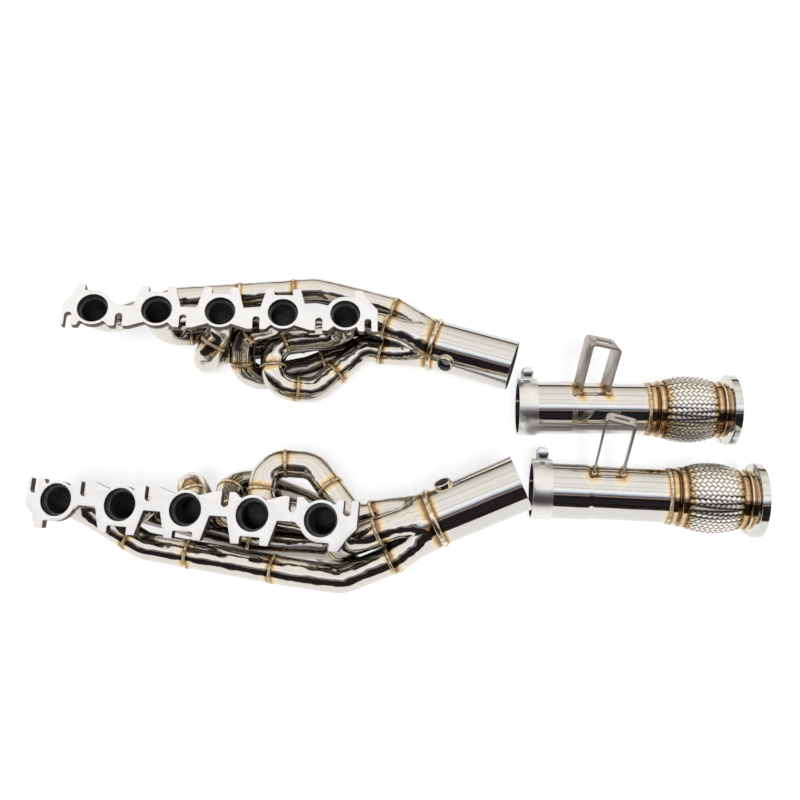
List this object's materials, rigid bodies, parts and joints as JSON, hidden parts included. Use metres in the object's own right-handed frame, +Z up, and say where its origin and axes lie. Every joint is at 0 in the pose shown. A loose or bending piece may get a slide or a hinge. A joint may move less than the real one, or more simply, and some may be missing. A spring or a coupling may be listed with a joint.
{
  "type": "racing exhaust system",
  "caption": "Polished steel exhaust set for a V engine: left and right merge-collector headers, and link pipes with slip sockets, band clamps, hanger brackets, braided flex joints and V-bands.",
  "frame": {"origin": "middle of the set's footprint, on the floor", "axes": "+X from the cylinder ports towards the outlets, +Y towards the left bank, +Z up from the floor"},
  "size_m": [1.0107, 0.4855, 0.1907],
  "materials": {
    "polished_steel": "mirror polished, with straw, brown and blue heat tint at the welds",
    "blasted_steel": "bead blasted",
    "satin_steel": "satin",
    "zinc_steel": "bright zinc",
    "brushed_steel": "brushed, heat marked at its feet",
    "braided_steel": "woven wire"
  },
  "bodies": {
    "headers_and_pipes": {"bracket_left": "brushed_steel", "collector_left": "polished_steel", "flex_bellows_left": "polished_steel", "flex_braid_left": "braided_steel", "flex_inlet_collar_left": "polished_steel", "flex_liner_left": "satin_steel", "header_flange_left": "blasted_steel", "link_pipe_left": "polished_steel", "outlet_tube_left": "polished_steel", "primary_1_left": "polished_steel", "primary_2_left": "polished_steel", "primary_3_left": "polished_steel", "primary_4_left": "polished_steel", "primary_5_left": "polished_steel", "sensor_bung_left": "polished_steel", "bracket_right": "brushed_steel", "collector_right": "polished_steel", "flex_bellows_right": "polished_steel", "flex_braid_right": "braided_steel", "flex_inlet_collar_right": "polished_steel", "flex_liner_right": "satin_steel", "header_flange_right": "blasted_steel", "link_pipe_right": "polished_steel", "outlet_tube_right": "polished_steel", "primary_1_right": "polished_steel", "primary_2_right": "polished_steel", "primary_3_right": "polished_steel", "primary_4_right": "polished_steel", "primary_5_right": "polished_steel", "sensor_bung_right": "polished_steel"},
    "clamp_left": {"clamp_band_left": "satin_steel", "clamp_spacer_left": "zinc_steel"},
    "bolt_left": {"clamp_bolt_left": "zinc_steel"},
    "nut_left": {"clamp_nut_left": "zinc_steel"},
    "flex_outlet_left": {"flex_outlet_collar_left": "polished_steel", "vband_flange_left": "polished_steel"},
    "clamp_right": {"clamp_band_right": "satin_steel", "clamp_spacer_right": "zinc_steel"},
    "bolt_right": {"clamp_bolt_right": "zinc_steel"},
    "nut_right": {"clamp_nut_right": "zinc_steel"},
    "flex_outlet_right": {"flex_outlet_collar_right": "polished_steel", "vband_flange_right": "polished_steel"}
  },
  "joints": [
    {"name": "flex_bend_left", "type": "hinge", "parent": "headers_and_pipes", "child": "flex_outlet_left", "pos_m": [0.42172, 0.04793, 0.05046], "axis": [-0.0332, 0.0011, 0.9994], "range_deg": [-8, 8], "stiffness_Nm_per_rad": 20, "deforming": ["flex_braid_left", "flex_bellows_left"]},
    {"name": "clamp_slide_left", "type": "slide", "parent": "headers_and_pipes", "child": "clamp_left", "axis": [0.9989, -0.0319, 0.0332], "range_m": [0, 0.04]},
    {"name": "bolt_turn_left", "type": "hinge", "parent": "clamp_left", "child": "bolt_left", "pos_m": [0.18507, 0.10237, 0.0696], "axis": [-0.0447, -0.4988, 0.8655], "range_deg": [0, 1080]},
    {"name": "nut_travel_left", "type": "slide", "parent": "clamp_left", "child": "nut_left", "axis": [0.0447, 0.4988, -0.8655], "range_m": [0, 0.00476]},
    {"name": "flex_bend_right", "type": "hinge", "parent": "headers_and_pipes", "child": "flex_outlet_right", "pos_m": [0.43181, -0.09652, 0.05046], "axis": [-0.0332, 0.0022, 0.9994], "range_deg": [-8, 8], "stiffness_Nm_per_rad": 20, "deforming": ["flex_braid_right", "flex_bellows_right"]},
    {"name": "clamp_slide_right", "type": "slide", "parent": "headers_and_pipes", "child": "clamp_right", "axis": [0.9972, -0.0675, 0.0332], "range_m": [0, 0.04]},
    {"name": "bolt_turn_right", "type": "hinge", "parent": "clamp_right", "child": "bolt_right", "pos_m": [0.19725, -0.03369, 0.0696], "axis": [-0.0625, -0.4969, 0.8655], "range_deg": [0, 1080]},
    {"name": "nut_travel_right", "type": "slide", "parent": "clamp_right", "child": "nut_right", "axis": [0.0625, 0.4969, -0.8655], "range_m": [0, 0.00476]}
  ],
  "couplings": [
    {"joint": "bolt_turn_left", "follows": "nut_travel_left", "rad_per_m": 3957.9},
    {"joint": "bolt_turn_right", "follows": "nut_travel_right", "rad_per_m": 3957.9}
  ]
}
